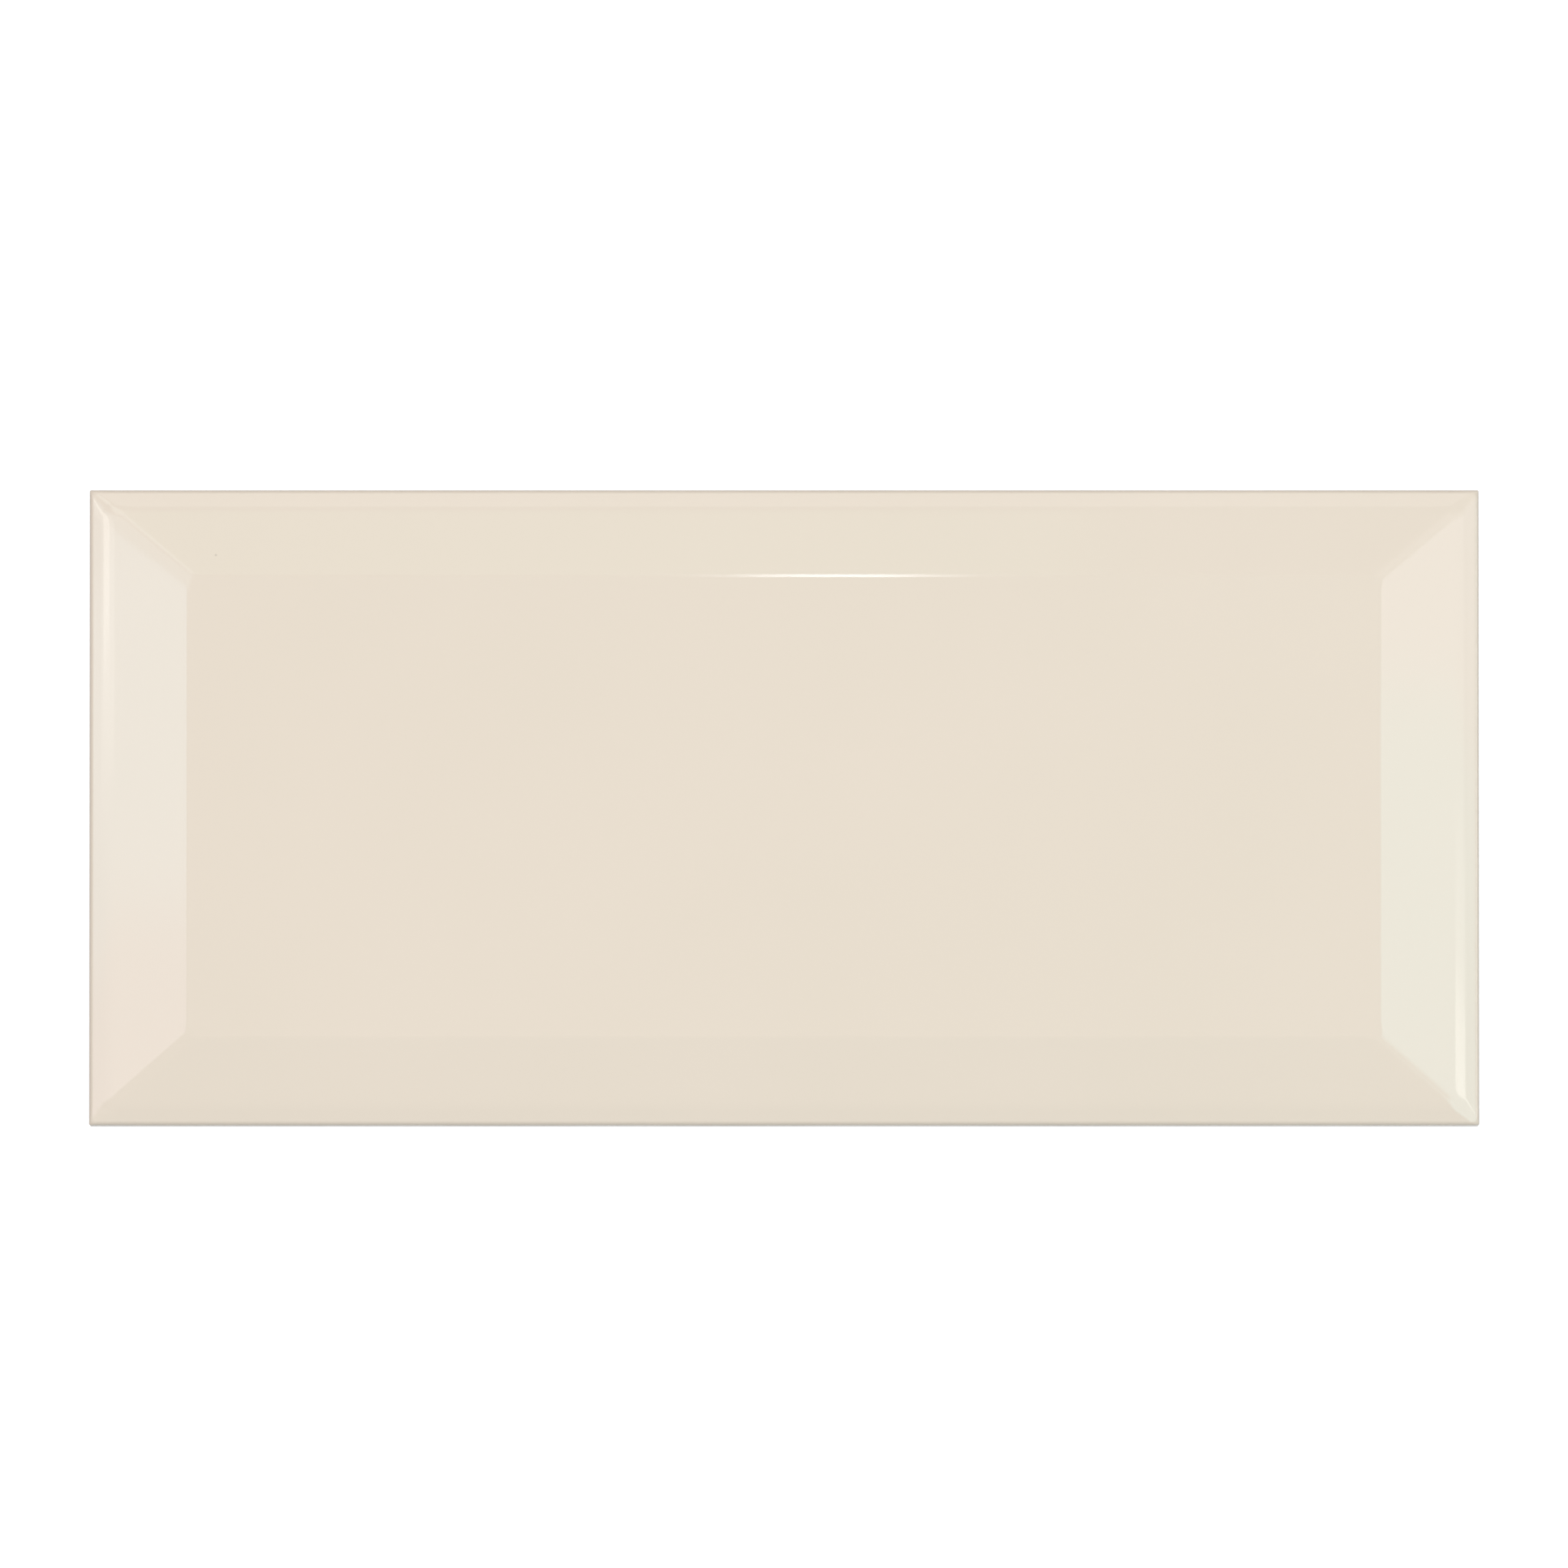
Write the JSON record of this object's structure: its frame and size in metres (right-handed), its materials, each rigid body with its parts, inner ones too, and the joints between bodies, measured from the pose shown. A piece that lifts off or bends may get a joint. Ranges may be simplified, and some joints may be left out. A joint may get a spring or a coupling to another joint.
{
  "type": "subway wall tile",
  "caption": "Oblong glazed ceramic wall tile with a bevel on all four sides, a flat glossy face and a keyed back.",
  "frame": {"origin": "centre of the back, on the plane of the ribs that bed into the adhesive", "axes": "+X along the tile's length, +Y across its width, +Z out of the glazed face"},
  "size_m": [0.2184, 0.1, 0.0085],
  "materials": {
    "glaze": "gloss"
  },
  "bodies": {
    "root": {"bevelled_tile": "glaze"}
  },
  "joints": []
}
